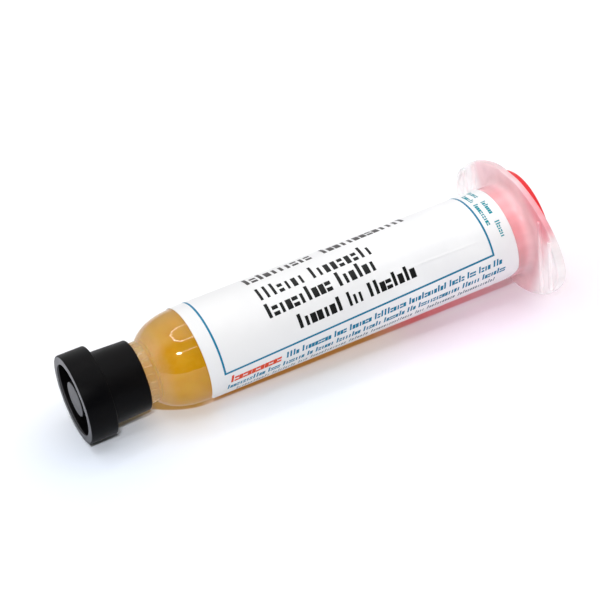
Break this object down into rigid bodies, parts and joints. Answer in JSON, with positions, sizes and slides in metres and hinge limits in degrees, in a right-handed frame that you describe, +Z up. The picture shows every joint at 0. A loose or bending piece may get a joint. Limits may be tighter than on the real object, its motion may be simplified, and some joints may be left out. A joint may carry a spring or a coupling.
{
  "type": "flux syringe",
  "caption": "Prefilled flux syringe: translucent barrel with a domed front, finger flange, screwed-on tip cap, rear end cap, wiper piston and a wrapped label.",
  "frame": {"origin": "middle of the part's box on the level of the flange's lower flat, which is the part's lowest point", "axes": "+X along the barrel's axis from the tip cap to the flange, +Y along the flange's wings, +Z up"},
  "size_m": [0.0972, 0.0382, 0.0252],
  "materials": {
    "clear_polypropylene": "natural translucent, moulded gloss",
    "amber_flux": "wet gel, amber",
    "red_polyethylene": "moulded satin",
    "white_label": "coated film, satin",
    "black_polypropylene": "moulded, soft sheen"
  },
  "bodies": {
    "barrel": {"barrel": "clear_polypropylene", "flux": "amber_flux", "label": "white_label"},
    "piston": {"piston": "red_polyethylene"},
    "tip_cap": {"tip_cap": "black_polypropylene"},
    "end_cap": {"end_cap": "red_polyethylene"}
  },
  "joints": [
    {"name": "piston_slide", "type": "slide", "parent": "barrel", "child": "piston", "axis": [-1, 0, 0], "range_m": [0, 0.04], "deforming": ["flux"]},
    {"name": "tip_cap_pull", "type": "slide", "parent": "barrel", "child": "tip_cap", "axis": [-1, 0, 0], "range_m": [0, 0.012]},
    {"name": "end_cap_pull", "type": "slide", "parent": "barrel", "child": "end_cap", "axis": [1, 0, 0], "range_m": [0, 0.012]}
  ]
}
